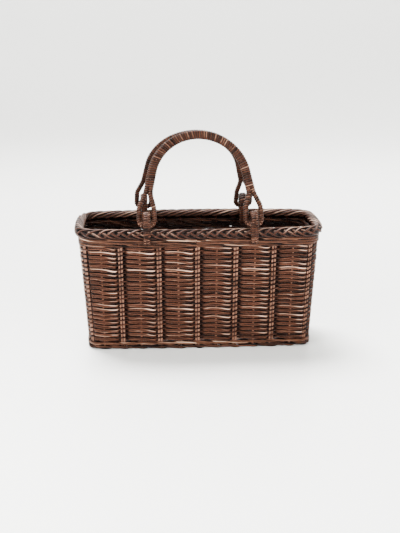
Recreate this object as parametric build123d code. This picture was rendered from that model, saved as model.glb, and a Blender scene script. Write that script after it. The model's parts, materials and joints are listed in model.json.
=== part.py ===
from build123d import *
import math
import os

# A wicker box bag: a woven wall on upright stakes, a plaited border, and two wrapped hoop handles
# whose eyelets are linked, like chain, through wrapped ears that straddle the border.
# Millimetres, +Z up, +X along the bag, origin on the ground under the middle of the base.

# ---- bag: plan at the ground and under the border, measured on the outer face ----
base_half_length = 155.0
base_half_width = 60.0
base_long_radius = 3000.0
base_short_radius = 1500.0
base_corner_radius = 18.0
top_half_length = 167.0
top_half_width = 68.5
top_long_radius = 1400.0
top_short_radius = 500.0
top_corner_radius = 28.0
wall_thickness = 8.0

# ---- bag: heights of the bands, from the ground up ----
foot_wale_height = 12.0
side_weave_height = 136.0
top_wale_height = 10.0
border_height = 14.0

# ---- base ----
base_underside = 1.0
base_thickness = 8.0
base_stick_radius = 1.8
base_stick_count = 9
base_stick_edge = 6.0

# ---- stakes ----
stake_groups = 32
first_stake_shift = -4.0
single_stake_radius = 1.7
double_stake_radius = 1.5
double_stake_gap = 0.6
stake_bottom = 3.0
stake_in_border = 4.0
stake_clearance = 0.15

# ---- plaited border ----
border_radius = 7.2
border_inset = 2.0

# ---- bindings, rods and ears ----
binding_thickness = 0.85
handle_rod_radius = 2.8
ear_rod_radius = 2.2
rod_gap = 0.1
ear_spacing = 144.0
ear_border_clearance = 1.55
ear_rise = 23.5
ear_foot_drop = 5.0
ear_foot_cover = 0.15
ear_foot_clearance = 0.15
ear_bend_outside = 8.0
ear_bend_inside = 5.0

# ---- handles, in their own plane: heights above the hinge line ----
hoop_height = 128.5
leg_splay = 11.5
toe_in = 2.1
throat_length = 19.0
collar_length = 7.5
eyelet_side_play = 1.75
eyelet_headroom = 7.65
eyelet_taper = 1.0
eyelet_corner_radius = 8.5
eyelet_shoulder_radius = 13.0
split_bend_radius = 22.0
eyelet_play = 0.5
handle_gap = 0.3
back_handle_shift = -3.0

# ---- sizes that follow ----
side_weave_top = foot_wale_height + side_weave_height
wall_top = side_weave_top + top_wale_height
border_top = wall_top + border_height
base_stick_pitch = 2 * (base_half_width - wall_thickness - base_stick_edge) / (base_stick_count - 1)
double_stake_spacing = 2 * double_stake_radius + double_stake_gap
stake_top = wall_top + stake_in_border
border_centre = border_top - border_radius
eyelet_tube_radius = handle_rod_radius + binding_thickness
ear_thickness = 2 * (ear_rod_radius + binding_thickness)
hinge_height = border_top + eyelet_play + eyelet_tube_radius
rod_offset = handle_rod_radius + rod_gap / 2
ear_rod_offset = ear_rod_radius + rod_gap / 2
ear_half_width = ear_rod_offset + ear_rod_radius + binding_thickness
ear_half_depth = border_radius + ear_border_clearance + ear_thickness / 2
ear_top = border_top + ear_rise
ear_foot_height = wall_top - ear_foot_drop
ear_foot_depth = wall_thickness / 2 - single_stake_radius - stake_clearance - ear_foot_cover
eyelet_width = 2 * (ear_half_width + eyelet_side_play + eyelet_tube_radius)
eyelet_shoulder_height = ear_top - hinge_height + eyelet_headroom
split_height = eyelet_shoulder_height + throat_length
TALL = 400.0


class Plan:
    """A closed plan curve of eight tangent arcs: two long sides, two ends and four corners."""

    def __init__(self, half_length, half_width, long_radius, short_radius, corner_radius):
        side_centre = long_radius - half_width
        end_centre = short_radius - half_length
        side_reach = long_radius - corner_radius
        end_reach = short_radius - corner_radius
        span = math.hypot(side_centre, end_centre)
        along = (side_reach**2 - end_reach**2 + span**2) / (2 * span)
        across = math.sqrt(side_reach**2 - along**2)
        corner_x = (across * side_centre - along * end_centre) / span
        corner_y = (along * side_centre + across * end_centre) / span - side_centre
        end_turn = math.atan2(corner_y, corner_x + end_centre)
        side_turn = math.atan2(corner_y + side_centre, corner_x)
        half = math.pi
        self.long_radius = long_radius
        self.side_centre = side_centre
        self.arcs = [
            (-end_centre, 0, short_radius, -end_turn, end_turn),
            (corner_x, corner_y, corner_radius, end_turn, side_turn),
            (0, -side_centre, long_radius, side_turn, half - side_turn),
            (-corner_x, corner_y, corner_radius, half - side_turn, half - end_turn),
            (end_centre, 0, short_radius, half - end_turn, half + end_turn),
            (-corner_x, -corner_y, corner_radius, half + end_turn, half + side_turn),
            (0, side_centre, long_radius, half + side_turn, 2 * half - side_turn),
            (corner_x, -corner_y, corner_radius, 2 * half - side_turn, 2 * half - end_turn),
        ]

    def point(self, arc, fraction, inset, height):
        """The point at a fraction of one arc, set in from the outer face."""
        x, y, radius, start, end = self.arcs[arc]
        turn = start + fraction * (end - start)
        reach = radius - inset
        return Vector(x + reach * math.cos(turn), y + reach * math.sin(turn), height)

    def outward(self, arc, fraction):
        """The direction that points straight out of the wall."""
        start, end = self.arcs[arc][3:]
        turn = start + fraction * (end - start)
        return Vector(math.cos(turn), math.sin(turn), 0)

    def wire(self, inset, height):
        """The whole curve at one height."""
        edges = []
        for arc in range(len(self.arcs)):
            ends = [self.point(arc, fraction, inset, height) for fraction in (0, 0.5, 1)]
            edges.append(ThreePointArc(*ends))
        return Wire(edges)

    def stations(self, count, inset, shift):
        """Evenly spaced places, as arc and fraction, from near the middle of the front round to the right.

        The first one stands shifted along the front from its middle.
        """
        lengths = [(arc[2] - inset) * (arc[4] - arc[3]) for arc in self.arcs]
        step = sum(lengths) / count
        places = []
        for number in range(count):
            arc = 6
            along = number * step + lengths[arc] / 2 + shift
            while along >= lengths[arc]:
                along -= lengths[arc]
                arc = (arc + 1) % len(lengths)
            places.append((arc, along / lengths[arc]))
        return places

    def side_width(self, x, inset):
        """Half the width across the long sides at a distance x from the middle."""
        return math.sqrt((self.long_radius - inset)**2 - x**2) - self.side_centre


base_plan = Plan(base_half_length, base_half_width, base_long_radius, base_short_radius,
                 base_corner_radius)
top_plan = Plan(top_half_length, top_half_width, top_long_radius, top_short_radius,
                top_corner_radius)


def filled_wall(inset):
    """The solid inside the tapering wall, from the ground to the wall's top."""
    return Solid.make_loft([base_plan.wire(inset, 0), top_plan.wire(inset, wall_top)], True)


def slab(low, high):
    """Everything between two heights."""
    return Pos(0, 0, low) * Box(TALL, TALL, high - low, align=(Align.CENTER, Align.CENTER, Align.MIN))


def stake_rods(groups, radius, spacing):
    """Upright rods on the middle of the wall, one or two to a group."""
    rods = []
    middle = wall_thickness / 2
    for arc, fraction in groups:
        foot = base_plan.point(arc, fraction, middle, 0)
        head = top_plan.point(arc, fraction, middle, wall_top)
        rise = (head - foot) * (1 / wall_top)
        beside = top_plan.outward(arc, fraction).cross(Vector(0, 0, 1))
        shifts = [-spacing / 2, spacing / 2] if spacing else [0]
        for shift in shifts:
            start = foot + rise * stake_bottom + beside * shift
            length = rise.length * (stake_top - stake_bottom)
            rods.append(Solid.make_cylinder(radius, length, Plane(start, z_dir=rise)))
    return rods


def base_stick_rods(radius):
    """Rods that run the length of the base, side by side in the thickness of its weave."""
    middle = base_underside + base_thickness / 2
    rods = []
    for number in range(base_stick_count):
        y = (number - (base_stick_count - 1) / 2) * base_stick_pitch
        rods.append(Pos(0, y, middle) * Rot(0, 90, 0) * Cylinder(radius, TALL))
    return rods


def border_ring():
    """The border's cord: a round section with a flat underside, carried round the top of the wall."""
    path = top_plan.wire(border_inset, border_centre)
    start = top_plan.point(0, 0, border_inset, border_centre)
    plane = Plane(start, x_dir=top_plan.outward(0, 0), z_dir=path % 0)
    down = 1 if plane.y_dir.Z > 0 else -1
    drop = border_centre - wall_top
    waste = Pos(0, -down * (drop + border_radius), 0) * Rectangle(4 * border_radius, 2 * border_radius)
    return sweep(plane * (Circle(border_radius) - waste), path)


def stadium(rod_radius, rod_shift, extra):
    """The outline of a band wound round two rods side by side."""
    return SlotOverall(2 * (rod_radius + rod_shift + extra), 2 * (rod_radius + extra))


# ---- ears ----
hinge_y = top_plan.side_width(ear_spacing / 2, border_inset)


def wall_face(x, inset, height):
    """How far the long side of the wall stands from the middle plane at one height."""
    rise = height / wall_top
    return (1 - rise) * base_plan.side_width(x, inset) + rise * top_plan.side_width(x, inset)


def ear_path():
    """An ear's centre line, outward along +X and up along +Y, about the middle of the border.

    The wall curves across an ear's width, so each foot is as deep as it may be at its deepest edge.
    """
    reach = abs(back_handle_shift) + ear_half_width
    near = ear_spacing / 2 - reach
    far = ear_spacing / 2 + reach
    arch_height = ear_top - ear_half_depth - ear_thickness / 2 - border_centre
    foot_height = ear_foot_height - border_centre
    outside_foot = wall_face(near, ear_foot_depth, ear_foot_height) - hinge_y
    inside_foot = wall_face(far, wall_thickness - ear_foot_depth, ear_foot_height) - hinge_y
    outside = FilletPolyline((outside_foot, foot_height), (ear_half_depth, foot_height),
                             (ear_half_depth, arch_height), radius=ear_bend_outside)
    inside = FilletPolyline((-ear_half_depth, arch_height), (-ear_half_depth, foot_height),
                            (inside_foot, foot_height), radius=ear_bend_inside)
    arch = ThreePointArc((ear_half_depth, arch_height), (0, arch_height + ear_half_depth),
                         (-ear_half_depth, arch_height))
    return Wire(outside.edges() + arch.edges() + inside.edges())


def ear_frame(x, side):
    """Puts an ear's own plane at its place: side -1 is the front, 1 the back."""
    return Plane((x, side * hinge_y, border_centre), x_dir=(0, side, 0), z_dir=(side, 0, 0))


def along_ear(section, shift=0.0):
    """A section carried along an ear's centre line, shifted sideways out of the ear's plane."""
    path = Pos(0, 0, shift) * ear_path()
    plane = Plane(path @ 0, x_dir=(0, 0, 1), z_dir=path % 0)
    return sweep(plane * section, path)


def ear_rods():
    return [along_ear(Circle(ear_rod_radius), shift) for shift in (-ear_rod_offset, ear_rod_offset)]


def ear_band(extra):
    return along_ear(stadium(ear_rod_radius, ear_rod_offset, extra))


# ---- handles ----
# The legs lean outward, and the hoop's radius is the one that brings them down over the eyelets.
splay = math.radians(leg_splay)
leg_spread = ear_spacing / 2 - toe_in - (hoop_height - split_height) * math.tan(splay)
hoop_radius = leg_spread / (1 / math.cos(splay) - math.tan(splay))
hoop_centre = hoop_height - hoop_radius
lean = math.asin((hinge_y - eyelet_tube_radius - handle_gap / 2) / (hoop_height + rod_offset))


def hoop_end(offset):
    """Where the hoop's arc meets its right leg, on a line set outward from the centre line."""
    reach = hoop_radius + offset
    return (reach * math.cos(splay), hoop_centre + reach * math.sin(splay))


def leg_point(height, offset):
    """A point on the right leg, square to the centre line at a given height."""
    top_x, top_y = hoop_end(0)
    x = top_x + (top_y - height) * math.tan(splay)
    return (x + offset * math.cos(splay), height + offset * math.sin(splay))


def collar_point(offset):
    """Where the grip's binding ends, above the split."""
    return leg_point(split_height + collar_length * math.cos(splay), offset)


def eyelet_points():
    """Corners of the right eyelet's line, from the outer side of the leg round to the inner side."""
    middle = ear_spacing / 2
    half = eyelet_width / 2
    return [
        leg_point(split_height, rod_offset),
        (middle + half - eyelet_taper, eyelet_shoulder_height),
        (middle + half, 0),
        (middle - half, 0),
        (middle - half + eyelet_taper, eyelet_shoulder_height),
        leg_point(split_height, -rod_offset),
    ]


eyelet_radii = [split_bend_radius, eyelet_shoulder_radius, eyelet_corner_radius,
                eyelet_corner_radius, eyelet_shoulder_radius, split_bend_radius]


def flip(points):
    return [(-x, y) for x, y in points]


def hoop_arc(offset):
    x, y = hoop_end(offset)
    return ThreePointArc((-x, y), (0, hoop_height + offset), (x, y))


def loop_path():
    """The closed line of the bent rod: outer strand, right eyelet, inner strand, left eyelet."""
    right = [hoop_end(rod_offset)] + eyelet_points() + [hoop_end(-rod_offset)]
    edges = hoop_arc(rod_offset).edges() + FilletPolyline(*right, radius=eyelet_radii).edges()
    edges += hoop_arc(-rod_offset).edges() + FilletPolyline(*flip(right), radius=eyelet_radii).edges()
    return Wire(edges)


def grip_path():
    right = collar_point(0)
    top = hoop_end(0)
    left_end, left_top = flip([right, top])
    return Wire([Line(left_end, left_top), hoop_arc(0).edge(), Line(top, right)])


def half_eyelet_paths():
    """The right eyelet's line as two halves that meet in the middle of its foot."""
    points = eyelet_points()
    foot = (ear_spacing / 2, 0)
    outer = [collar_point(rod_offset)] + points[:3] + [foot]
    inner = [collar_point(-rod_offset)] + points[:2:-1] + [foot]
    return [Wire(FilletPolyline(*line, radius=eyelet_radii[:3]).edges()) for line in (outer, inner)]


def along(path, section, sideways=(0, 0, 1)):
    """A section carried along a line in the handle's plane."""
    plane = Plane(path @ 0, x_dir=sideways, z_dir=path % 0)
    return sweep(plane * section, path)


def handle_rod():
    return along(loop_path(), Circle(handle_rod_radius))


def grip_binding():
    path = grip_path()
    outer = stadium(handle_rod_radius, rod_offset, binding_thickness)
    inner = stadium(handle_rod_radius, rod_offset, 0)
    wide = Vector(0, 0, 1).cross(path % 0)
    return along(path, outer, wide) - along(path, inner, wide)


def eyelet_binding(rod):
    outer, inner = [along(path, Circle(eyelet_tube_radius)) for path in half_eyelet_paths()]
    return outer + inner - rod


def mirrored(shape):
    return mirror(shape, about=Plane.YZ)


handle_plane = Plane((0, -hinge_y, hinge_height), x_dir=(1, 0, 0),
                     z_dir=(0, -math.cos(lean), math.sin(lean)))
to_front = handle_plane.location
to_back = Pos(back_handle_shift, 0, 0) * Rot(0, 0, 180) * to_front


# ---- build every node ----
nodes = {}

outer_solid = filled_wall(0)
inner_solid = filled_wall(wall_thickness)
wall = outer_solid - inner_solid

places = top_plan.stations(stake_groups, wall_thickness / 2, first_stake_shift)
nodes["double_stakes"] = stake_rods(places[0::2], double_stake_radius, double_stake_spacing)
nodes["single_stakes"] = stake_rods(places[1::2], single_stake_radius, 0)
channels = stake_rods(places[0::2], double_stake_radius + stake_clearance, double_stake_spacing)
channels += stake_rods(places[1::2], single_stake_radius + stake_clearance, 0)

base_plate = inner_solid & slab(base_underside, base_underside + base_thickness)
nodes["base_sticks"] = [base_plate & rod for rod in base_stick_rods(base_stick_radius)]
nodes["base_weave"] = base_plate - base_stick_rods(base_stick_radius + stake_clearance)

ear_half_spacing = ear_spacing / 2
ears = {
    "front_left": ear_frame(-ear_half_spacing, -1),
    "front_right": ear_frame(ear_half_spacing, -1),
    "back_left": ear_frame(-ear_half_spacing + back_handle_shift, 1),
    "back_right": ear_frame(ear_half_spacing + back_handle_shift, 1),
}
rods_of_ear = ear_rods()
band_of_ear = ear_band(binding_thickness) - ear_band(0)
ear_cutter = ear_band(binding_thickness + ear_foot_clearance)
pockets = []
for name, frame in ears.items():
    nodes[name + "_ear_rods"] = [frame.location * rod for rod in rods_of_ear]
    nodes[name + "_ear_binding"] = frame.location * band_of_ear
    pockets.append(frame.location * ear_cutter)

nodes["foot_wale"] = (wall & slab(0, foot_wale_height)) - channels
nodes["side_weave"] = (wall & slab(foot_wale_height, side_weave_top)) - channels - pockets
nodes["top_wale"] = (wall & slab(side_weave_top, wall_top)) - channels - pockets
nodes["plaited_border"] = border_ring() - channels

rod_loop = handle_rod()
grip_band = grip_binding()
right_eyelet_band = eyelet_binding(rod_loop)
left_eyelet_band = mirrored(right_eyelet_band)
for end, move in (("front", to_front), ("back", to_back)):
    nodes[end + "_handle_rods"] = move * rod_loop
    nodes[end + "_grip_binding"] = move * grip_band
    sides = ("left", "right") if end == "front" else ("right", "left")
    nodes[end + "_" + sides[0] + "_eyelet_binding"] = move * left_eyelet_band
    nodes[end + "_" + sides[1] + "_eyelet_binding"] = move * right_eyelet_band

os.makedirs("parts", exist_ok=True)
for name, shape in nodes.items():
    solids = []
    for piece in shape if isinstance(shape, list) else [shape]:
        solids += piece.solids()
    export_step(Compound(children=solids) if len(solids) > 1 else solids[0], "parts/" + name + ".step")
print("hinge line y", round(hinge_y, 3), "z", round(hinge_height, 3))
print("lean from upright", round(math.degrees(lean), 3))
print("nodes", len(nodes))
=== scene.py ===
# %% [markdown]
# # A wicker box bag with two wrapped hoop handles
# The frame comes from the CAD model. The curves it does not give, the plan of the wall and the
# outline of the handles, are written out again here in millimetres. What follows dresses it: each
# rod of the weave is a real tube that passes in front of one stake and behind the next, the
# border is laid strand by strand, and the handles and ears are wound with flat cane.

# %% The frame and the tools
import json
import math
import bpy
import numpy as np
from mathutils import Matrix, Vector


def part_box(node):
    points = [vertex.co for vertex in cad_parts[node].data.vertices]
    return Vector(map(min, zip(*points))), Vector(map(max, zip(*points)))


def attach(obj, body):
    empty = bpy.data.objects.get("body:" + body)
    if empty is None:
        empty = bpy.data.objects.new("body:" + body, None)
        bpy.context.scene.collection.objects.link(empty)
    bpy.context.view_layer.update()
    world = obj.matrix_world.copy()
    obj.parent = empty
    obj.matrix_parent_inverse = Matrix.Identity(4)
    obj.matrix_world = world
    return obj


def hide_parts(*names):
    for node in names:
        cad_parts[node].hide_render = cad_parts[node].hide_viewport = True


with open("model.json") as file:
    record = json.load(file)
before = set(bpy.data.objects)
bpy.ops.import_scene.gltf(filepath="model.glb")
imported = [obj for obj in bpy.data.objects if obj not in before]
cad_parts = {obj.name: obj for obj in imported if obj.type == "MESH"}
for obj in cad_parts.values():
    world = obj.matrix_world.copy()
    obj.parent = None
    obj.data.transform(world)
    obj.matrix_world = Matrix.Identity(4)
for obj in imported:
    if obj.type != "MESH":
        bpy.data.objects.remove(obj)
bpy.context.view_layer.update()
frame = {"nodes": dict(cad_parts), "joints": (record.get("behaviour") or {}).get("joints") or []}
MM = 0.001
rng = np.random.default_rng(7)
print("CAD nodes:", len(frame["nodes"]))

# %% [markdown]
# ## The plan of the wall
# Seen from above the bag is a rounded rectangle of eight tangent arcs: two long sides, two ends
# and four corners. One such curve stands on the ground and a larger one lies under the border,
# and the wall is ruled between them. Could be a curve object, but arcs as numbers let every rod
# ask where the wall is at any place and height. A place along the wall is counted in stake
# groups, 0 to 32, from near the middle of the front round to the right, and even numbers are the
# double stakes.

# %% The two plan curves
GROUPS = 32
FIRST_SHIFT = -4.0
WALL = 8.0
WALL_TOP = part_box("top_wale")[1].z / MM
BASE_PLAN = dict(half_length=155.0, half_width=60.0, long_radius=3000.0, short_radius=1500.0,
                 corner_radius=18.0)
TOP_PLAN = dict(half_length=167.0, half_width=68.5, long_radius=1400.0, short_radius=500.0,
                corner_radius=28.0)


def plan_arcs(half_length, half_width, long_radius, short_radius, corner_radius):
    """Centre, radius, start and end angle of the eight arcs, from the right end round to the left.

    The corner arc touches both its neighbours, so its centre lies where two circles meet: one about
    the long side's centre and one about the end's, each smaller than its arc by the corner radius.
    """
    side_centre, end_centre = long_radius - half_width, short_radius - half_length
    side_reach, end_reach = long_radius - corner_radius, short_radius - corner_radius
    span = math.hypot(side_centre, end_centre)
    along = (side_reach**2 - end_reach**2 + span**2) / (2 * span)
    across = math.sqrt(side_reach**2 - along**2)
    x = (across * side_centre - along * end_centre) / span
    y = (along * side_centre + across * end_centre) / span - side_centre
    end_turn, side_turn = math.atan2(y, x + end_centre), math.atan2(y + side_centre, x)
    return np.array([
        (-end_centre, 0, short_radius, -end_turn, end_turn),
        (x, y, corner_radius, end_turn, side_turn),
        (0, -side_centre, long_radius, side_turn, math.pi - side_turn),
        (-x, y, corner_radius, math.pi - side_turn, math.pi - end_turn),
        (end_centre, 0, short_radius, math.pi - end_turn, math.pi + end_turn),
        (-x, -y, corner_radius, math.pi + end_turn, math.pi + side_turn),
        (0, side_centre, long_radius, math.pi + side_turn, 2 * math.pi - side_turn),
        (x, -y, corner_radius, 2 * math.pi - side_turn, 2 * math.pi - end_turn),
    ])


def on_arcs(arcs, arc, share, inset):
    """Point and outward direction at a share of each arc: centre plus radius times (cos, sin)."""
    x, y, radius, start, end = arcs[arc].T
    turn = start + share * (end - start)
    out = np.stack([np.cos(turn), np.sin(turn)], -1)
    return np.stack([x, y], -1) + (radius - inset)[:, None] * out, out


def wall_table(samples=7200):
    """Foot, head and outward direction of the wall's middle at evenly spaced places round it."""
    top, base = plan_arcs(**TOP_PLAN), plan_arcs(**BASE_PLAN)
    lengths = (top[:, 2] - WALL / 2) * (top[:, 4] - top[:, 3])
    order = np.roll(np.arange(8), -6)
    ends = np.concatenate([[0], np.cumsum(lengths[order])])
    place = np.linspace(0, ends[-1], samples + 1) + lengths[6] / 2 + FIRST_SHIFT
    place = np.mod(place, ends[-1])
    step = np.clip(np.searchsorted(ends, place, side="right") - 1, 0, 7)
    arc = order[step]
    share = (place - ends[step]) / lengths[arc]
    head, head_out = on_arcs(top, arc, share, WALL / 2)
    foot, foot_out = on_arcs(base, arc, share, WALL / 2)
    return np.concatenate([foot, head, foot_out, head_out], 1), ends[-1]


TABLE, ROUND_LENGTH = wall_table()
print(f"round the wall: {ROUND_LENGTH:.1f} mm, a group every {ROUND_LENGTH / GROUPS:.2f}")

# %% Any place on the wall
def wall(u, height, depth):
    """Points at place u, a height, and a distance out from the wall's middle, in millimetres.

    The foot and the head of the wall at u are joined by a straight line, and the distance is
    measured along the outward direction, which turns evenly from the foot's to the head's.
    """
    u, height, depth = np.broadcast_arrays(*(np.asarray(v, float) for v in (u, height, depth)))
    place = np.mod(u / GROUPS, 1) * (len(TABLE) - 1)
    grid = np.arange(len(TABLE))
    foot_x, foot_y, head_x, head_y, foot_out_x, foot_out_y, head_out_x, head_out_y = (
        np.interp(place, grid, column) for column in TABLE.T)
    rise = height / WALL_TOP
    out = np.stack([foot_out_x + rise * (head_out_x - foot_out_x),
                    foot_out_y + rise * (head_out_y - foot_out_y)], -1)
    out /= np.linalg.norm(out, axis=-1, keepdims=True)
    middle = np.stack([foot_x + rise * (head_x - foot_x), foot_y + rise * (head_y - foot_y)], -1)
    point = np.concatenate([middle + depth[..., None] * out, height[..., None]], -1)
    return point, np.concatenate([out, np.zeros_like(height)[..., None]], -1)


print("middle of the front under the border:", wall(0, WALL_TOP, 0)[0].round(1), "mm")

# %% [markdown]
# ## Rods as tubes
# Every rod, strand and stick is a tube carried along a line. Blender's bevelled curves would do,
# but thousands of rods are quicker and steadier as one array: a whole set of lines goes in, and
# one mesh comes out. Each vertex keeps the rod's own shade and its place along and round the rod,
# which the material uses for the grain, and a value of painted light and shade: painted shade
# where a rod lies deep in the wall and under it, painted light on top.

# %% Directions and smooth steps
def unit(v):
    """Vectors of length one."""
    return v / np.linalg.norm(v, axis=-1, keepdims=True)


def tangents(lines, closed):
    """Direction at each point, from its neighbours' difference."""
    if closed:
        return unit(np.roll(lines, -1, 1) - np.roll(lines, 1, 1))
    return unit(np.gradient(lines, axis=1))


def eased(x, low, high):
    """0 below low, 1 above high and a smooth S between: t * t * (3 - 2 * t)."""
    t = np.clip((x - low) / (high - low), 0, 1)
    return t * t * (3 - 2 * t)


print("a smooth step a quarter of the way up:", eased(0.25, 0, 1))

# %% Tubes from arrays
# Painted light from above: a rod's sides keep 0.82 of it, its top gains up to 0.32 and its
# underside loses as much.
SIDE_PAINTED_LIGHT, TOP_PAINTED_LIGHT = 0.82, 0.32
LONGEST_OFFSET = 900


def tubes(lines, outward, radius, shade, sides=7, closed=False, squash=1.0, exposed=1.0):
    """Vertices, faces and grain of tubes of a given radius along lines.

    A ring point is line + radius * (cos t * side + sin t * squash * out), with the side and out
    directions square to the line. lines and outward are (rods, points, 3) in millimetres. The grain
    starts at a random distance along each rod. The last argument is painted light and shade, mostly
    painted shade where a rod lies deep in the wall; each vertex keeps it times painted light from
    above, more on top of a rod than below it.
    """
    rods, points = lines.shape[:2]
    ahead = tangents(lines, closed)
    out = unit(outward - (outward * ahead).sum(-1, keepdims=True) * ahead)
    side = np.cross(ahead, out)
    turn = np.linspace(0, 2 * math.pi, sides, endpoint=False)
    radius = np.broadcast_to(radius, (rods, points))[..., None, None]
    across, proud = np.cos(turn)[:, None], np.sin(turn)[:, None]
    ring = across * side[:, :, None] + squash * proud * out[:, :, None]
    verts = lines[:, :, None] + radius * ring
    steps = np.linalg.norm(np.diff(lines, axis=1, prepend=lines[:, :1]), axis=-1)
    along = (np.cumsum(steps, 1) + rng.uniform(0, LONGEST_OFFSET, (rods, 1)))[:, :, None]
    grain = np.stack(np.broadcast_arrays(
        along, np.cos(turn) + 0 * along, np.sin(turn) + 0 * along), -1)
    shade = np.broadcast_to(shade, (rods, points))
    number = np.arange(rods * points * sides).reshape(rods, points, sides)
    here = number if closed else number[:, :-1]
    there = np.roll(number, -1, 1) if closed else number[:, 1:]
    quads = np.stack([here, there, np.roll(there, -1, 2), np.roll(here, -1, 2)], -1).reshape(-1, 4)
    caps = [] if closed else np.concatenate([number[:, 0], number[:, -1, ::-1]]).tolist()
    # Painted light from above: lighter on top of a rod, darker underneath.
    painted_top_light = SIDE_PAINTED_LIGHT + TOP_PAINTED_LIGHT * unit(ring)[..., 2]
    exposed = np.broadcast_to(exposed, (rods, points))[..., None] * painted_top_light
    return (verts.reshape(-1, 3), quads.tolist() + caps, grain.reshape(-1, 3),
            np.repeat(shade.reshape(-1), sides), np.clip(exposed, 0, 1).reshape(-1))


print("the grain starts up to", LONGEST_OFFSET, "mm along each rod")


# %% Pieces from tubes
def joined(*sets):
    """Several sets of tubes as one, with the later sets' faces renumbered."""
    faces, start = [], 0
    for one in sets:
        faces += [[i + start for i in face] for face in one[1]]
        start += len(one[0])
    verts, grain, shade, exposed = (np.concatenate([one[i] for one in sets]) for i in (0, 2, 3, 4))
    return verts, faces, grain, shade, exposed


def piece(name, surface, body, replaced=(), material=None):
    """One mesh object from a set of tubes, riding on its body and standing for its CAD nodes."""
    verts, faces, grain, shade, exposed = surface
    mesh = bpy.data.meshes.new(name)
    mesh.from_pydata((verts * MM).tolist(), [], faces)
    mesh.attributes.new("grain", "FLOAT_VECTOR", "POINT").data.foreach_set("vector", grain.ravel())
    mesh.attributes.new("shade", "FLOAT", "POINT").data.foreach_set("value", shade)
    mesh.attributes.new("exposed", "FLOAT", "POINT").data.foreach_set("value", exposed)
    mesh.polygons.foreach_set("use_smooth", [True] * len(mesh.polygons))
    mesh.update()
    obj = bpy.data.objects.new(name, mesh)
    bpy.context.scene.collection.objects.link(obj)
    mesh.materials.append(material)
    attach(obj, body)
    if replaced:
        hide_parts(*replaced)
    print(name, "triangles", sum(len(face) - 2 for face in faces))
    return obj


# %% A smooth random wander
def wobble(rows, u, size, slowest, fastest, waves=7):
    """A smooth random wander for each row that closes on itself round the bag.

    It is a sum of sine waves, each with a whole number of cycles round the bag.
    """
    cycles = rng.integers(slowest, fastest, (rows, waves, 1))
    phase = rng.uniform(0, 2 * math.pi, (rows, waves, 1))
    total = np.sin(cycles * u * 2 * math.pi / GROUPS + phase).sum(1)
    return size * total / math.sqrt(waves / 2)


# %% [markdown]
# ## Stained cane
# The rods are peeled cane stained a dark reddish brown and lightly lacquered. The stain takes
# unevenly: each rod has its own shade, fine darker streaks run along it, and the raised fibres
# catch the light. The streaks are noise stretched along the rod, read from the grain attribute,
# so they follow each rod round every bend. Light and shade are painted into the colour as well:
# the crest and top of a rod are painted lighter, and its flanks, its underside and the hollows
# deep in the wall are painted darker.

# %% Shader maths as expressions
class Sock:
    """Wraps a socket so that arithmetic on it adds Math nodes."""

    def __init__(self, tree, socket):
        self.tree = tree
        self.socket = socket

    def math(self, operation, *values):
        return node(self.tree, "ShaderNodeMath", dict(operation=operation), dict(enumerate(values)))

    def __add__(self, other):
        return self.math("ADD", self, other)

    def __mul__(self, other):
        return self.math("MULTIPLY", self, other)

    def __sub__(self, other):
        return self.math("SUBTRACT", self, other)


def node(tree, kind, settings, inputs, output=0):
    """Adds a node: its settings first, then the values or links of its sockets."""
    new = tree.nodes.new(kind)
    for key, value in settings.items():
        if key == "stops":
            ramp = new.color_ramp.elements
            while len(ramp) < len(value):
                ramp.new(0.5)
            for element, (position, colour) in zip(ramp, value):
                element.position = position
                element.color = (*colour, 1)
        else:
            setattr(new, key, value)
    for key, value in inputs.items():
        if isinstance(value, Sock):
            tree.links.new(value.socket, new.inputs[key])
        else:
            new.inputs[key].default_value = value
    return Sock(tree, new.outputs[output])


print("materials before the cane:", len(bpy.data.materials))

# %% The cane material
SHADE_PART, STREAK_PART, BLOTCH_PART, MIX_OFFSET = 0.62, 0.34, 0.42, 0.19
# Painted shade leaves a tenth of the choice at the darkest; a rod's inner face gets 0.4 of painted
# light, and a stick facing out gets 0.8.
DARKEST_PAINTED_SHADE = 0.1
INNER_PAINTED_LIGHT, STICK_PAINTED_LIGHT = 0.4, 0.8
BAG_SHAPE = (6.2, 16.0, 0.0)
DARK_STOP, MIDDLE_STOP, LIGHT_STOP = 0.16, 0.52, 0.88


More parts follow.
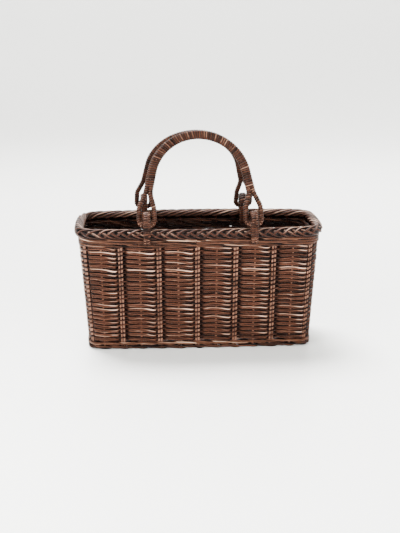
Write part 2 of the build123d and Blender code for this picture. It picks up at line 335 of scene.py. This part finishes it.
def cane(name, dark, middle, light, rough=0.42, from_grain=True, edge=0.15):
    """Stained cane: a ramp of three browns, chosen by the rod's shade and by streaks along it.

    The choice is (shade + streaks + blotches, each by its part, less an offset) times painted light
    and shade: a rod's crest is painted light from edge up, its flanks are painted dark, the face
    towards the inside of the bag is painted a little lighter, and the mesh brings painted shade for
    hollows and painted light from above. A CAD stick has no grain attributes: it is painted light
    where its normal points away from the middle of the bag and painted dark where it faces in.
    """
    material = bpy.data.materials.new(name)
    material.use_nodes = True
    tree = material.node_tree
    shader = tree.nodes["Principled BSDF"]
    if from_grain:
        place = node(tree, "ShaderNodeAttribute", dict(attribute_name="grain"), {}, "Vector")
        shade = node(tree, "ShaderNodeAttribute", dict(attribute_name="shade"), {}, "Fac")
        exposed = node(tree, "ShaderNodeAttribute", dict(attribute_name="exposed"), {}, "Fac")
        crest = node(tree, "ShaderNodeSeparateXYZ", {}, {"Vector": place}, "Z")
        smooth = dict(interpolation_type="SMOOTHSTEP")
        outer = node(tree, "ShaderNodeMapRange", smooth,
                     {"Value": crest, "From Min": edge, "From Max": 1.0}, "Result")
        inner = node(tree, "ShaderNodeMapRange", smooth,
                     {"Value": crest, "From Min": -0.1, "From Max": -1.0}, "Result")
        # Painted light and shade: crest lighter, flanks dark, inner face a little lighter.
        painted_light_mask = exposed * outer + inner * INNER_PAINTED_LIGHT
        streak_scale, blotch_scale = (0.05, 1.6, 1.6), (0.02, 0.35, 0.35)
    else:
        place = node(tree, "ShaderNodeTexCoord", {}, {}, "Object")
        shade = node(tree, "ShaderNodeTexNoise", {},
                     {"Vector": place, "Scale": 60.0, "Detail": 1.0})
        from_middle = node(tree, "ShaderNodeVectorMath", dict(operation="MULTIPLY"),
                           {0: place, 1: BAG_SHAPE}, "Vector")
        normal = node(tree, "ShaderNodeTexCoord", {}, {}, "Normal")
        facing = node(tree, "ShaderNodeVectorMath", dict(operation="DOT_PRODUCT"),
                      {0: from_middle, 1: normal}, "Value")
        # Painted light and shade: lighter facing out of the bag, darker facing into it.
        painted_light_mask = node(tree, "ShaderNodeMapRange", dict(interpolation_type="SMOOTHSTEP"),
                    {"Value": facing, "From Min": -0.2, "From Max": 0.8}, "Result") * STICK_PAINTED_LIGHT
        streak_scale, blotch_scale = (900.0, 900.0, 60.0), (120.0, 120.0, 14.0)
    streak_at = node(tree, "ShaderNodeMapping", {}, {"Vector": place, "Scale": streak_scale})
    blotch_at = node(tree, "ShaderNodeMapping", {}, {"Vector": place, "Scale": blotch_scale})
    streak = node(tree, "ShaderNodeTexNoise", {},
                  {"Vector": streak_at, "Scale": 3.0, "Detail": 4.0})
    blotch = node(tree, "ShaderNodeTexNoise", {},
                  {"Vector": blotch_at, "Scale": 2.0, "Detail": 2.0})
    tone = shade * SHADE_PART + streak * STREAK_PART + blotch * BLOTCH_PART - MIX_OFFSET
    # Painted shade: where nothing is lit, the choice falls to a tenth.
    mix = tone * (painted_light_mask * 0.9 + DARKEST_PAINTED_SHADE)
    stops = [(DARK_STOP, dark), (MIDDLE_STOP, middle), (LIGHT_STOP, light)]
    colour = node(tree, "ShaderNodeValToRGB", dict(stops=stops), {"Fac": mix})
    bump = node(tree, "ShaderNodeBump", {},
                {"Height": streak, "Strength": 0.35, "Distance": 0.0004})
    tree.links.new(colour.socket, shader.inputs["Base Color"])
    tree.links.new((streak * 0.25 + (rough - 0.12)).socket, shader.inputs["Roughness"])
    tree.links.new(bump.socket, shader.inputs["Normal"])
    shader.inputs["Specular IOR Level"].default_value = 0.07
    shader.inputs["Coat Weight"].default_value = 0.015
    shader.inputs["Coat Roughness"].default_value = 0.3
    return material


# %% Five stains
# edge is where a rod's painted light on the crest begins; below it the flanks are painted dark. The
# wale goes deeper and the flat cane most of all, as painted shade in the grooves.
WEAVE = cane("stained_cane_weave",
             (0.0025, 0.0005, 0.0002), (0.068, 0.025, 0.014), (0.68, 0.43, 0.31))
# The sticks' browns are lighter than the weave's: painted light, so that sticks set back in the
# wall look as bright as the rods.
STICK = cane("stained_cane_sticks",
             (0.016, 0.005, 0.003), (0.25, 0.122, 0.080), (0.62, 0.40, 0.29), from_grain=False)
WALE = cane("stained_cane_wale",
            (0.0025, 0.0006, 0.0003), (0.080, 0.031, 0.017), (0.70, 0.47, 0.33), edge=0.3)
BORDER = cane("stained_cane_border",
              (0.0018, 0.0005, 0.0003), (0.042, 0.016, 0.010), (0.58, 0.38, 0.28))
BINDING = cane("stained_flat_cane",
               (0.0030, 0.0009, 0.0005), (0.062, 0.022, 0.012), (0.54, 0.32, 0.22), edge=0.5)
print("materials:", len(bpy.data.materials))

# %% [markdown]
# ## The side weave
# Each row has a pair of rods that passes in front of the lone stakes and behind the double ones,
# and one thin rod that does the opposite and packs down the pairs. Seen from outside, the pairs
# make long spindles from one double stake to the next, and the thin rods only show as short bars
# across the sticks. A displaced sheet would look right from afar, but only real rods leave the
# dark hollows beside the sticks and show the same weave inside the bag; the rods are also painted
# darker where they lie deep in the wall, as painted shade. A packing rod runs down the middle of
# the wall between the rows, painted nearly black as the shade of the deep gaps. It stands for the
# tight packing of a real wall and closes most of the gaps, though some slits can still be seen
# through from inside. Right of each lone stake the upper rod of a pair is painted lighter and the
# lower one darker, as painted highlight and painted shade.

# %% How a rod passes the stakes
ROWS = 22
FOOT_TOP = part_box("foot_wale")[1].z / MM
WEAVE_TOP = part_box("side_weave")[1].z / MM
ROW_STEP = (WEAVE_TOP - FOOT_TOP) / ROWS
PAIR_RADIUS, THIN_RADIUS, PACKING_RADIUS = 1.28, 1.4, 1.65
PACKING_DEPTH = -0.2
FALL = 2.2
PAIR_INSIDE, PAIR_SWING, BESIDE_STAKE = -2.7, 4.8, 0.85
LEAST_PAINTED_LIGHT = 0.3
STAGES = np.array([0, 0.10, 0.16, 0.22, 0.28, 0.35, 0.44, 0.58, 0.76, 0.94, 1.1, 1.26, 1.42, 1.56,
                   1.66, 1.72, 1.77, 1.82, 1.88, 1.94])
PLACES = (STAGES + 2 * np.arange(GROUPS // 2)[:, None]).ravel()


def pair_depth(u):
    """Out past the lone stakes at odd places, in behind the doubles at even ones.

    The rod comes out slowly on the right of a double and dives steeply on the left of the next, and
    between the stakes it lies nearer the middle of the wall than it does where it passes one.
    """
    t = np.mod(u, 2)
    beside = eased(t, 0.7, 0.95) - eased(t, 1.05, 1.3)
    out, back = eased(t, 0.13, 0.45), eased(t, 1.68, 1.87)
    return PAIR_INSIDE + PAIR_SWING * out + BESIDE_STAKE * beside - PAIR_SWING * back


def thin_depth(u):
    """Out over the doubles and in behind the lone stakes."""
    t = np.abs(np.mod(u + 1, 2) - 1)
    return 2.4 - 3.7 * eased(t, 0.15, 0.42) - 1.7 * eased(t, 0.65, 0.95)


def pair_fall(u):
    """The pair sinks on its way from the lone stake to the next double, and rises behind it."""
    t = np.mod(u + 0.25, 2) - 0.25
    return 0.7 - FALL * eased(t, 0.8, 1.75) - FALL * (1 - eased(t, -0.25, 0.25))


def packed_wave(heights, u, size=0.35, waves=9):
    """A slow wander that neighbouring rows share, so that they stay packed.

    It is a sum of sines of whole cycles round the bag plus a small turn for each row.
    """
    wave_rng = np.random.default_rng(3)
    cycles = wave_rng.integers(5, 30, (waves, 1, 1))
    turn = wave_rng.normal(0, 0.12, (waves, 1, 1))
    phase = wave_rng.uniform(0, 2 * math.pi, (waves, 1, 1))
    total = np.sin(cycles * u * 2 * math.pi / GROUPS + turn * heights[:, None] + phase).sum(0)
    return size * total / math.sqrt(waves / 2)


def rod_shades(rows, u):
    """One shade for each rod: every ring is two to four rods end to end, joined behind a double."""
    choices = rng.normal(0.58, 0.13, (rows, GROUPS // 2))
    keep = rng.uniform(size=(rows, GROUPS // 2)) < 0.16
    source = np.where(keep, np.arange(GROUPS // 2), 0)
    source = np.maximum.accumulate(source, 1)
    shades = np.take_along_axis(choices, source, 1)
    return shades[:, (np.mod(u, GROUPS) // 2).astype(int)]


print(f"{ROWS} rows, {ROW_STEP:.2f} mm apart; a pair passes a stake {pair_depth(1.0):.2f} mm out")

# %% The rods of a row
def pair_rods(heights, above):
    """The upper (above = 1) or lower (above = -1) rods of the pairs at some heights."""
    rows = len(heights)
    t = np.mod(PLACES, 2)
    apart = 1.22 - 0.3 * (1 - eased(t, 0.2, 0.6)) - 0.25 * eased(t, 0.95, 1.6)
    height = heights[:, None] + above * apart + pair_fall(PLACES)
    height = height + wobble(rows, PLACES, 0.12, 6, 50)
    height = height + packed_wave(heights, PLACES)
    depth = pair_depth(PLACES) + wobble(rows, PLACES, 0.12, 6, 40)
    line, out = wall(PLACES, height, depth)
    thinner = 1 - 0.08 * eased(t, 1.1, 1.6)
    radius = PAIR_RADIUS * (1 + wobble(rows, PLACES, 0.09, 2, 30)) * thinner
    # Painted highlight and painted shade: from just right of each lone stake, the upper rod of a
    # pair is lighter and the lower one darker.
    shade = rod_shades(rows, PLACES) + (0.35 if above > 0 else -0.3) * eased(t, 1.1, 1.5)
    # Painted shade where the rod lies deep in the wall.
    exposed = LEAST_PAINTED_LIGHT + 0.7 * eased(depth, -1.5, 2.2)
    return tubes(line, out, radius, shade, 8, True, exposed=exposed)


def thin_rods(heights):
    """The thin rods half a step above some heights, which sink a little where they go inside."""
    rows = len(heights)
    height = heights[:, None] + ROW_STEP / 2 + wobble(rows, PLACES, 0.12, 6, 50)
    height = height + packed_wave(heights + ROW_STEP / 2, PLACES) + pair_fall(PLACES)
    depth = thin_depth(PLACES)
    outside = eased(depth, -1.5, 2.4)
    line, out = wall(PLACES, height - 1.2 * (1 - outside), depth)
    radius = THIN_RADIUS + 0.2 - 0.4 * outside
    # Outside, over the doubles, the thin rods are made darker; where they lie inside the wall,
    # painted shade darkens them.
    shade = rod_shades(rows, PLACES) - 0.1 - 0.3 * outside
    return tubes(line, out, radius, shade, 6, True, exposed=LEAST_PAINTED_LIGHT + 0.7 * outside)


def packing_rods(heights):
    """Rods round the middle of the wall between the rows, painted nearly black as shade in the deep
    gaps; they pass through the stakes.
    """
    rows, between = len(heights), heights + ROW_STEP / 2
    height = between[:, None] + packed_wave(between, PLACES) + pair_fall(PLACES)
    line, out = wall(PLACES, height, PACKING_DEPTH)
    # Painted shade: the packing rods are nearly black.
    shade = rng.normal(0.3, 0.1, (rows, 1))
    return tubes(line, out, PACKING_RADIUS, shade, 5, True, exposed=0.15)


print("places along a rod:", len(PLACES))

# %% The rows, in three pieces
FIRST_ROW = 0.42
row_heights = FOOT_TOP + ROW_STEP * (np.arange(ROWS) + FIRST_ROW)
for part, rows in enumerate(np.array_split(row_heights, 3)):
    surface = joined(pair_rods(rows, 1), pair_rods(rows, -1), thin_rods(rows), packing_rods(rows))
    piece(("lower", "middle", "upper")[part] + "_rows", surface, "basket",
          ("side_weave",), WEAVE)

# %% [markdown]
# ## The wales
# A wale is three rods worked together: each goes outside two groups of stakes and inside the
# third, one group behind the next rod, which makes a rope-like band. One band locks the foot, and
# one lies under the border.

# %% Three-rod wales
HALF_STAKE = 1.7
WALE_SIDES = 8


def wale(heights, radius, slope):
    """Rings of three rods, each outside two groups and inside one, a group apart."""
    band_shift = 0.5 * np.arange(len(heights))[:, None, None]
    start = (np.arange(3)[:, None] + band_shift).reshape(-1, 1)
    u = np.linspace(0, GROUPS, GROUPS * 10, endpoint=False)
    t = np.mod(u - start, 3)
    reach = HALF_STAKE + radius
    depth = reach * (2 * eased(t, 0.05, 0.5) - 2 * eased(t, 2.1, 2.55) - 1)
    fall = slope * (1 - eased(t, 0.3, 2.2) * 2 + eased(t, 2.5, 3) * 2)
    rows = len(start)
    height = np.repeat(heights, 3)[:, None] + fall + wobble(rows, u, 0.2, 4, 30)
    line, out = wall(u, height, depth)
    shades = rng.normal(0.52, 0.2, (rows, 1)) + wobble(rows, u, 0.14, 1, 9)
    uneven = radius * (1 + wobble(rows, u, 0.05, 2, 20))
    # Painted shade where a rod lies behind the stakes.
    return tubes(line, out, uneven, shades, WALE_SIDES, True, exposed=eased(depth, -2.0, 2.4))


foot_rows = np.array([3.6, 8.9])
top_rows = WEAVE_TOP + np.array([0.9, 4.4, 7.9])
piece("twisted_foot_wale", wale(foot_rows, 1.5, 1.4), "basket", ("foot_wale",), WALE)
piece("twisted_top_wale", wale(top_rows, 1.4, 0.9), "basket", ("top_wale",), WALE)

# %% [markdown]
# ## The base
# The bottom is woven flat: rods go across the bag over and under the long base sticks, each row
# opposite to the last, and their ends are caught by the foot wale.

# %% Base weave
low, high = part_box("base_weave")
stick_low, stick_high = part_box("base_sticks")
STICKS = 9
CROSS_RADIUS, CROSS_GAP = 1.35, 0.15
CROSS_LIFT = 2.55
END_MARGIN, TUCKED = 2.5, 1.5


def base_half_width(x):
    """Half the width of the base inside the wall at a distance along it."""
    arc, share = np.repeat([1, 2, 3], 60), np.tile(np.linspace(0, 1, 60), 3)
    points = on_arcs(plan_arcs(**BASE_PLAN), arc, share, WALL)[0]
    order = np.argsort(points[:, 0])
    return np.interp(x, points[order, 0], points[order, 1])


def base_rods():
    """Rods across the base: a sine over and under the sticks, flipped from row to row."""
    count = int((high.x - low.x) / MM / (2 * CROSS_RADIUS + CROSS_GAP))
    x = np.linspace(low.x / MM + END_MARGIN, high.x / MM - END_MARGIN, count)
    share = np.linspace(-1, 1, 61)
    y = share * (base_half_width(x)[:, None] + TUCKED)
    stick_step = (stick_high.y - stick_low.y - (stick_high.z - stick_low.z)) / MM / (STICKS - 1)
    flip = np.where(np.arange(count) % 2, 1.0, -1.0)[:, None]
    middle = (low.z + high.z) / 2 / MM
    z = middle + flip * CROSS_LIFT * np.cos(math.pi * y / stick_step)
    line = np.stack([x[:, None] + 0 * y, y, z], -1)
    up = np.zeros_like(line)
    up[..., 2] = 1
    return tubes(line, up, CROSS_RADIUS, rng.normal(0.45, 0.18, (count, 1)), 6)


piece("woven_base", base_rods(), "basket", ("base_weave",), WEAVE)

# %% [markdown]
# ## The plaited border
# The stakes end in the border: each is bent over to the right, lies over its neighbours along the
# top of the rim and is tucked down inside, and a second set slants down under the first, so that
# the front shows a row of chevrons. The places are given round the section of the border's cord:
# 0 faces out, 90 up and 180 into the bag.

# %% Strands round the rim
BORDER_RADIUS = 7.2
BORDER_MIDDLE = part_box("plaited_border")[1].z / MM - BORDER_RADIUS
BORDER_SHIFT = WALL / 2 - 2.0
CELLS = 2 * GROUPS
CELL = GROUPS / CELLS
SUNK = 0.3
OVER_RADIUS, UNDER_RADIUS, CORE_RADIUS = 1.75, 1.7, 4.2
CORE_REACH, CORE_SQUASH = 0.9, 1.6


def on_border(u, turn, reach):
    """Points round the border's cord: out by reach * cos(turn) and up by reach * sin(turn)."""
    outward = reach * np.cos(turn)
    point, out = wall(u, WALL_TOP, BORDER_SHIFT + outward)
    point[..., 2] = BORDER_MIDDLE + reach * np.sin(turn)
    return point, np.cos(turn)[..., None] * out + np.sin(turn)[..., None] * np.array([0, 0, 1.0])


def laid_strands(knots, radius, shift, samples=30):
    """The same strand laid once in each cell, a little different each time.

    It is a smooth line through knots of (cells along, degrees round the cord, reach).
    """
    knots = np.array(knots, float)
    grid = np.linspace(0, len(knots) - 1, samples)
    cells, turn, reach = (smooth_line(grid, knots[:, i]) for i in range(3))
    start = (np.arange(CELLS)[:, None] + shift + rng.normal(0, 0.05, (CELLS, 1))) * CELL
    u = start + cells * CELL
    turn = np.radians(turn + rng.normal(0, 2.0, (CELLS, 1)))
    line, out = on_border(u, turn, reach - SUNK + rng.uniform(-0.12, 0.05, (CELLS, 1)))
    return tubes(line, out, radius, rng.normal(0.62, 0.10, (CELLS, 1)), 8)


def smooth_line(grid, values):
    """A curve through values at 0, 1, 2 ...: on each step a cubic with its neighbours' slopes."""
    step = np.clip(grid.astype(int), 0, len(values) - 2)
    t = grid - step
    slope = np.gradient(values)
    a, b = values[step], values[step + 1]
    return ((2 * t**3 - 3 * t**2 + 1) * a + (t**3 - 2 * t**2 + t) * slope[step]
            + (3 * t**2 - 2 * t**3) * b + (t**3 - t**2) * slope[step + 1])


print("cells round the rim:", CELLS)

# %% The border
over_strands = laid_strands([
    (-0.45, -44, 3.4), (-0.22, -16, 4.8), (0.0, 10, 5.4), (0.25, 36, 5.7), (0.55, 60, 5.8),
    (0.95, 81, 5.7), (1.5, 99, 5.5), (2.1, 118, 5.4), (2.8, 142, 5.3), (3.5, 170, 5.2),
    (4.1, 200, 4.6), (4.5, 225, 3.4),
], OVER_RADIUS, 0)
under_strands = laid_strands([
    (-0.6, 50, 3.4), (-0.3, 30, 4.4), (0.0, 8, 5.4), (0.32, -16, 5.7), (0.7, -40, 5.8),
    (1.15, -62, 5.9), (1.7, -80, 5.5), (2.2, -95, 4.5),
], UNDER_RADIUS, 0.45)
u_round = np.linspace(0, GROUPS, 360, endpoint=False)[None]
downward = np.radians(-90) + 0 * u_round
core_line, core_out = on_border(u_round, downward, CORE_REACH + 0 * u_round)
# The core under the strands is painted nearly black: painted shade in the hollows between the
# chevrons.
core = tubes(core_line, core_out, CORE_RADIUS, 0.0, 12, True, CORE_SQUASH, 0.1)
piece("laid_border", joined(over_strands, under_strands, core), "basket",
      ("plaited_border",), BORDER)

# %% [markdown]
# ## Wound cane
# The grips, eyelets and ears are wound with flat cane, turn against turn. Grooves in a material
# would look flat at the edges, so the winding is one real strip: a low oval section carried along
# a helix that goes round a pair of rods or a single one. Two rods side by side are wound on an
# outline with straight sides and round ends.

# %% Lines with rounded corners
def rounded(points, radii):
    """A line through flat points whose inner corners are arcs of the given radii.

    An arc starts and ends radius / tan(half the corner's angle) from its corner, and its points
    divide the sweep between those two evenly.
    """
    points = np.array(points, float)
    line = [points[:1]]
    for i, radius in enumerate(radii, 1):
        back, ahead = unit(points[i - 1] - points[i]), unit(points[i + 1] - points[i])
        half = math.acos(back @ ahead) / 2
        trim = radius / math.tan(half)
        centre = points[i] + unit(back + ahead) * radius / math.sin(half)
        first, last = points[i] + back * trim - centre, points[i] + ahead * trim - centre
        sweep = math.pi - 2 * half
        t = np.linspace(0, 1, max(4, int(sweep * radius)))[:, None]
        arc = np.sin((1 - t) * sweep) * first + np.sin(t * sweep) * last
        line.append(centre + arc / math.sin(sweep))
    line.append(points[-1:])
    return np.concatenate(line)


def at_distances(line, share):
    """Points at shares of a line's length, and the length."""
    reach = np.concatenate([[0], np.cumsum(np.linalg.norm(np.diff(line, axis=0), axis=1))])
    return np.stack([np.interp(share * reach[-1], reach, c) for c in line.T], 1), reach[-1]


corner = rounded([(0, 0), (10, 0), (10, 10)], [4])
print("a rounded corner measures", at_distances(corner, np.zeros(1))[1].round(2), "mm")

# %% The outline of two rods
CANE_WIDTH = 3.2
CANE_THICKNESS = 1.45
WOUND_DEPTH = 0.85
COVER = 0.92
BEDDED = 0.48


def outline(share, radius, half_gap):
    """Point and outward direction at a share of the outline of two rods side by side.

    Each end is a half circle about a point half_gap from the middle, and straight sides join them.
    """
    side, end = 2 * half_gap, math.pi * radius
    place = np.mod(share, 1) * 2 * (side + end)
    marks = [0, end, end + side, 2 * end + side, 2 * end + 2 * side]
    turn = np.interp(place, marks,
                     [-math.pi / 2, math.pi / 2, math.pi / 2, 1.5 * math.pi, 1.5 * math.pi])
    middle = np.interp(place, marks, [half_gap, half_gap, -half_gap, -half_gap, half_gap])
    out = np.stack([np.cos(turn), np.sin(turn)], -1)
    return np.stack([middle + radius * out[:, 0], radius * out[:, 1]], -1), out


print("first point of an outline:", outline(np.zeros(1), 2.0, 2.0)[0][0].round(2), "mm")

# %% A strip wound on a line
def wound(line, flat_normal, rod_radius, half_gap, wide_in_plane, steps=18, tone=0.5):
    """Flat cane on a line in a plane: an oval strip on a helix of about CANE_WIDTH a turn.

    The strip's crown stands about WOUND_DEPTH proud of the rod and its underside is bedded into it.
    """
    turns = max(2, round(at_distances(line, np.zeros(1))[1] / CANE_WIDTH))
    share = np.linspace(0, 1, turns * steps + 1)
    middle, length = at_distances(line, share)
    ahead = unit(np.gradient(middle, axis=0))
    normal = np.broadcast_to(np.array(flat_normal, float), ahead.shape)
    in_plane = np.cross(normal, ahead)
    wide, thin = (in_plane, normal) if wide_in_plane else (normal, -in_plane)
    radius = rod_radius + WOUND_DEPTH - CANE_THICKNESS * BEDDED
    place, out = outline(share * turns, radius, half_gap)
    helix = middle + place[:, :1] * wide + place[:, 1:] * thin
    outward = out[:, :1] * wide + out[:, 1:] * thin
    turn_number = (share * turns).astype(int)
    shades = (tone + rng.normal(0, 0.16, turns + 1))[turn_number]
    width = (length / turns / 2) * (COVER + rng.normal(0, 0.035, turns + 1)[turn_number])
    flat = CANE_THICKNESS / CANE_WIDTH
    return tubes(helix[None], outward[None], width, shades[None], 8, squash=flat)


print("flat cane", CANE_WIDTH, "mm wide and", CANE_THICKNESS, "mm thick")

# %% [markdown]
# ## The ears
# An ear is a pair of rods bent into an upside-down U over the border, with both feet pushed into
# the wale, and wound all over.

# %% The four ears
EAR_ROD = 2.2
EAR_GAP = 2.25
EAR_HALF_DEPTH = 11.8
EAR_BENDS = (8.0, 5.0)
EAR_FOOT = -11.8
OUTER_TUCK, INNER_TUCK = 1.0, -6.0


def ear_line(low, high, side):
    """Up from the wale outside, over in a half circle and down inside the border."""
    arch = high.z / MM - EAR_ROD - WOUND_DEPTH - EAR_HALF_DEPTH - BORDER_MIDDLE
    turn = np.linspace(0, math.pi, 25)
    bend = np.stack([EAR_HALF_DEPTH * np.cos(turn), arch + EAR_HALF_DEPTH * np.sin(turn)], 1)
    outside = rounded([(OUTER_TUCK, EAR_FOOT), (EAR_HALF_DEPTH, EAR_FOOT), (EAR_HALF_DEPTH, arch)],
                      EAR_BENDS[:1])
    inside = rounded([(-EAR_HALF_DEPTH, arch), (-EAR_HALF_DEPTH, EAR_FOOT), (INNER_TUCK, EAR_FOOT)],
                     EAR_BENDS[1:])
    flat = np.concatenate([outside[:-1], bend, inside[1:]])
    x = (low.x + high.x) / 2 / MM
    y, z = side * (HINGE_Y + flat[:, 0]), BORDER_MIDDLE + flat[:, 1]
    return np.stack([x + 0 * flat[:, 0], y, z], 1)


front_swing = next(joint for joint in frame["joints"] if joint["name"] == "front_handle_swing")
HINGE_Y, HINGE_HEIGHT = -front_swing["pos_m"][1] / MM, front_swing["pos_m"][2] / MM
for end, side in (("front", -1), ("back", 1)):
    for hand in ("left", "right"):
        name = f"{end}_{hand}_ear"
        line = ear_line(*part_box(name + "_binding"), side)
        piece(name, wound(line, (1, 0, 0), EAR_ROD, EAR_GAP, False, 16), "basket",
              (name + "_binding",), BINDING)

# %% [markdown]
# ## The handles
# One long rod makes a handle: it goes round the hoop, down round one eyelet, back along the hoop
# and round the other eyelet, so the grip is two rods side by side. The handle's own plane leans
# inward until the two hoops meet over the middle of the bag, and its heights are counted from the
# hinge line.

# %% The handle's lines in its own plane
HANDLE_ROD, HANDLE_GAP = 2.8, 2.85
HOOP_RADIUS, HOOP_CENTRE = 65.01, 63.49
HALF_GRIP, HALF_MEETING_GAP = 3.65, 0.15
HOOP_TOP = HOOP_CENTRE + HOOP_RADIUS + HANDLE_GAP
LEAN = math.asin((HINGE_Y - HALF_GRIP - HALF_MEETING_GAP) / HOOP_TOP)
SPLAY = math.radians(11.5)
SPLIT, COLLAR = 46.0, 7.5
EAR_PLACE = 72.0
EYELET_HALF, EYELET_TAPER, SHOULDER = 10.7, 1.0, 27.0
EYELET_BENDS = (22.0, 13.0, 8.5, 8.5, 13.0, 22.0)
BACK_SHIFT = -3.0


def leg_point(height, offset):
    """A point on the right leg's line, set outward by offset square to it."""
    top = HOOP_CENTRE + HOOP_RADIUS * math.sin(SPLAY)
    x = HOOP_RADIUS * math.cos(SPLAY) + (top - height) * math.tan(SPLAY)
    return (x + offset * math.cos(SPLAY), height + offset * math.sin(SPLAY))


def grip_line():
    """Up the right leg, over the hoop and down the left leg."""
    turn = np.linspace(SPLAY, math.pi - SPLAY, 81)
    hoop = np.stack([HOOP_RADIUS * np.cos(turn), HOOP_CENTRE + HOOP_RADIUS * np.sin(turn)], 1)
    foot = np.array(leg_point(SPLIT + COLLAR * math.cos(SPLAY), 0))
    return np.concatenate([[foot], hoop, [foot * (-1, 1)]])


def eyelet_line():
    """Down the outer side of the right eyelet, round its foot and up the inner side."""
    collar = SPLIT + COLLAR * math.cos(SPLAY)
    left, right = EAR_PLACE - EYELET_HALF, EAR_PLACE + EYELET_HALF
    return rounded([leg_point(collar, HANDLE_GAP), leg_point(SPLIT, HANDLE_GAP),
                    (right - EYELET_TAPER, SHOULDER), (right, 0), (left, 0),
                    (left + EYELET_TAPER, SHOULDER), leg_point(SPLIT, -HANDLE_GAP),
                    leg_point(collar, -HANDLE_GAP)], EYELET_BENDS)


def on_handle(flat, end):
    """Puts a line of the handle's plane at the front or, turned about and shifted, at the back."""
    up = np.array([0, math.sin(LEAN), math.cos(LEAN)])
    hinge = np.array([0, -HINGE_Y, HINGE_HEIGHT])
    line = flat[:, :1] * np.array([1.0, 0, 0]) + flat[:, 1:] * up + hinge
    normal = np.array([0, -math.cos(LEAN), math.sin(LEAN)])
    if end == "back":
        line = line * (-1, -1, 1) + (BACK_SHIFT, 0, 0)
        normal = normal * (-1, -1, 1)
    return line, normal


print("the handles lean inward", round(math.degrees(LEAN), 2), "degrees")

# %% Winding the handles
for end, right_eyelet, left_eyelet in (("front", "right", "left"), ("back", "left", "right")):
    body = end + "_handle"
    line, normal = on_handle(grip_line(), end)
    piece(end + "_grip", wound(line, normal, HANDLE_ROD, HANDLE_GAP, True, 20), body,
          (end + "_grip_binding",), BINDING)
    for hand, flip in ((right_eyelet, 1), (left_eyelet, -1)):
        line, normal = on_handle(eyelet_line() * (flip, 1), end)
        eyelet = f"{end}_{hand}_eyelet"
        piece(eyelet, wound(line, normal, HANDLE_ROD, 0.0, True, 14), body,
              (eyelet + "_binding",), BINDING)

# %% [markdown]
# ## The parts that stay as the CAD made them
# Stakes, base sticks and the rods inside the windings are plain round rods, so the CAD meshes
# stay and only get their finish.

# %% Finishes of the CAD rods
for name, made in frame["nodes"].items():
    made.data.materials.clear()
    made.data.materials.append(STICK)
print("CAD nodes finished:", len(frame["nodes"]))

# %% [markdown]
# ## Studio
# A pale floor turns up into a pale wall all round, far enough out for any camera to stand inside
# it. A broad high lamp from behind does most of the work, a soft key on the left lights the
# front, a wash keeps the wall behind pale, and the pale room lifts the shadows a little.

# %% Floor
def cove(radius=3.2, bend=1.2, height=3.4, around=96):
    """A flat disc whose rim turns up through a quarter circle into a wall, carried round."""
    t = np.linspace(0, math.pi / 2, 13)
    r = np.concatenate([[0.0, 0.5, 1.2], radius - bend + bend * np.sin(t), [radius]])
    z = np.concatenate([[0.0, 0.0, 0.0], bend - bend * np.cos(t), [height]])
    turn = np.linspace(0, 2 * math.pi, around, endpoint=False)[:, None]
    verts = np.stack([r * np.cos(turn), r * np.sin(turn), z + 0 * turn], -1)
    number = np.arange(around * len(r)).reshape(around, len(r))
    ahead = np.roll(number, -1, 0)
    quads = np.stack([number[:, :-1], number[:, 1:], ahead[:, 1:], ahead[:, :-1]], -1)
    return verts.reshape(-1, 3), quads.reshape(-1, 4)


verts, quads = cove()
mesh = bpy.data.meshes.new("studio_floor")
mesh.from_pydata(verts.tolist(), [], quads.tolist())
mesh.polygons.foreach_set("use_smooth", [True] * len(mesh.polygons))
floor = bpy.data.objects.new("studio_floor", mesh)
bpy.context.scene.collection.objects.link(floor)
paper = bpy.data.materials.new("pale_paper")
paper.use_nodes = True
paper_shader = paper.node_tree.nodes["Principled BSDF"]
paper_shader.inputs["Base Color"].default_value = (0.93, 0.93, 0.91, 1)
paper_shader.inputs["Roughness"].default_value = 0.35
mesh.materials.append(paper)
print("floor faces:", len(quads))

# %% Room light
world = bpy.data.worlds.new("pale_room")
world.use_nodes = True
room = world.node_tree.nodes["Background"]
room.inputs["Color"].default_value = (1.0, 1.0, 0.98, 1)
room.inputs["Strength"].default_value = 0.15
bpy.context.scene.world = world
print("room light:", room.inputs["Strength"].default_value)


# %% Lamps
LARGEST_LAMP = 5


def lamp(name, place, target, size, power):
    """A lamp turned towards a point.

    A size up to LARGEST_LAMP is a square lamp's side in metres, and a larger one is the angle of a
    far lamp in degrees.
    """
    far = size > LARGEST_LAMP
    light = bpy.data.lights.new(name, "SUN" if far else "AREA")
    light.energy = power
    if far:
        light.angle = math.radians(size)
    else:
        light.size = size
    obj = bpy.data.objects.new(name, light)
    obj.location = place
    direction = unit(np.array(target) - np.array(place))
    heading = math.atan2(direction[1], direction[0]) - math.pi / 2
    obj.rotation_euler = (math.acos(-direction[2]), 0, heading)
    bpy.context.scene.collection.objects.link(obj)


lamp("soft_key", (-0.8, -0.65, 0.7), (-0.05, 0, 0.1), 0.5, 14.0)
lamp("high_lamp", (-0.5, 1.1, 2.3), (0, 0, 0.1), 30.0, 15.0)
lamp("wall_wash", (0, 0.9, 1.7), (0, 3.2, 0.9), 1.5, 90.0)
print("lamps:", len(bpy.data.lights))

# %% Camera
AZIMUTH, ELEVATION, DISTANCE = math.radians(-3.3), math.radians(15), 1.48
TARGET = np.array([0.003, 0, 0.102])
LENS = 70.4
eye = TARGET + DISTANCE * np.array([math.sin(AZIMUTH) * math.cos(ELEVATION),
                                    -math.cos(AZIMUTH) * math.cos(ELEVATION), math.sin(ELEVATION)])
camera = bpy.data.objects.new("camera", bpy.data.cameras.new("camera"))
camera.data.lens = LENS
camera.location = eye
camera.rotation_euler = (math.pi / 2 - ELEVATION, 0, AZIMUTH)
bpy.context.scene.collection.objects.link(camera)
bpy.context.scene.camera = camera
print("camera at", eye.round(3), "m")
